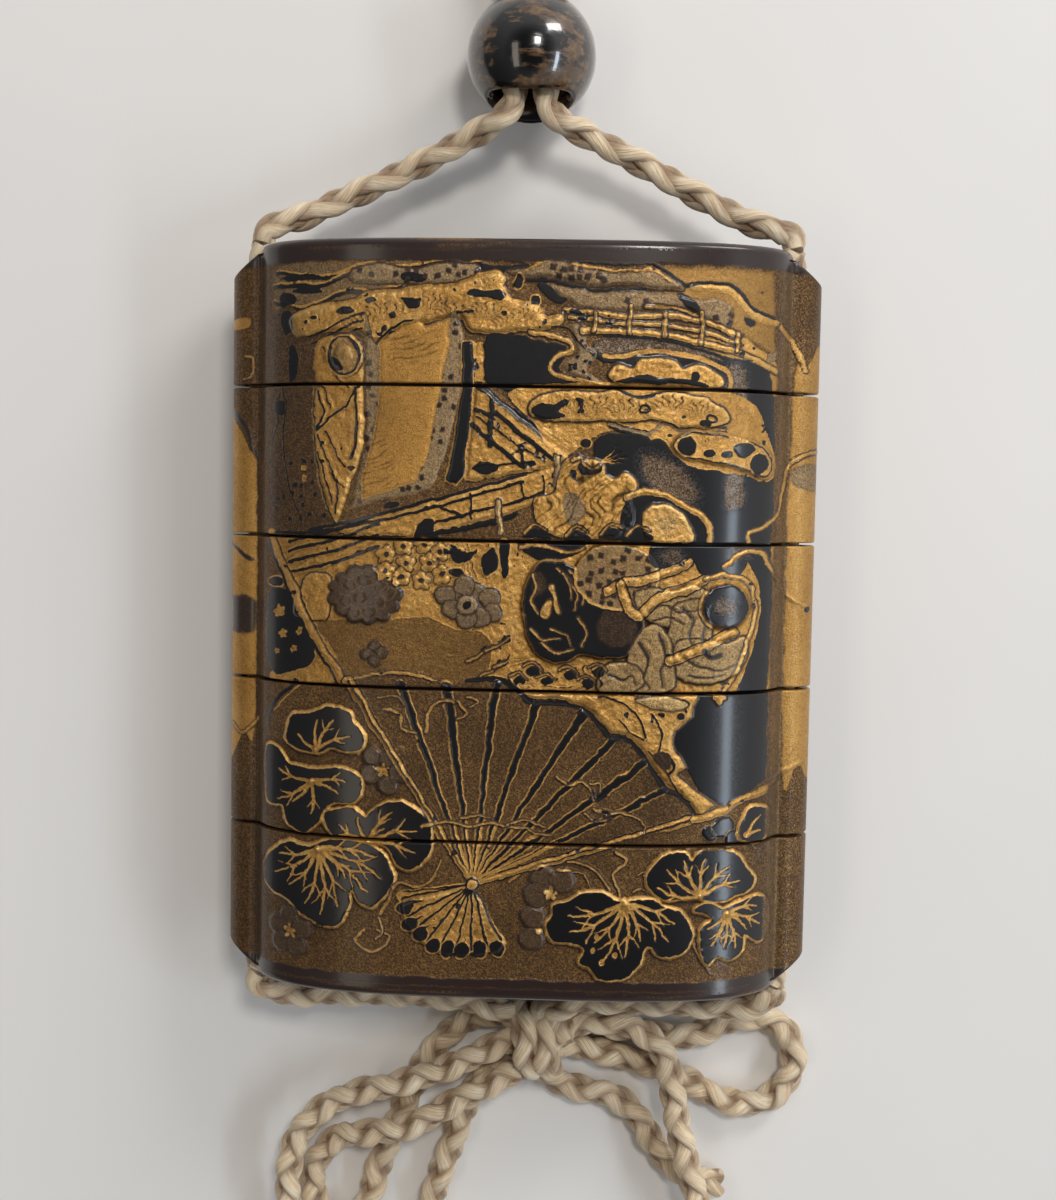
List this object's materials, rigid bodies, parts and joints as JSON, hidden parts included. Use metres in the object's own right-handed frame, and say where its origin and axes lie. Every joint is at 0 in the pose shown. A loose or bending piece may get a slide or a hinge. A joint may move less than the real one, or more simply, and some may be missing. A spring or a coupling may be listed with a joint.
{
  "type": "inro case",
  "caption": "Flat oval lacquered case of nested trays stacked under a lid, with side cord runners and a gilt picture in low relief, on a braided cord with a bead above and a bow below.",
  "frame": {"origin": "centre of the small flat on the back, which the case lies on; the middle of its width and height", "axes": "+X across the width, +Y along the height towards the lid and bead, +Z from the back to the picture"},
  "size_m": [0.0612, 0.1567, 0.0207],
  "materials": {
    "lacquer": "lacquer with gold and brown sprinkled metal powder",
    "bead": "mottled dark lacquer, polished",
    "cord": "braided silk"
  },
  "bodies": {
    "root": {"lid": "lacquer", "case_1": "lacquer", "case_2": "lacquer", "case_3": "lacquer", "case_4": "lacquer", "ojime_bead": "bead", "cord_top": "cord", "cord_in_left_channel": "cord", "cord_in_right_channel": "cord", "cord_under_left": "cord", "cord_under_right": "cord", "bow_knot": "cord", "bow_outer_loop": "cord", "bow_inner_loop": "cord", "bow_right_loop": "cord", "bow_long_tail": "cord", "bow_short_tail": "cord"}
  },
  "joints": []
}
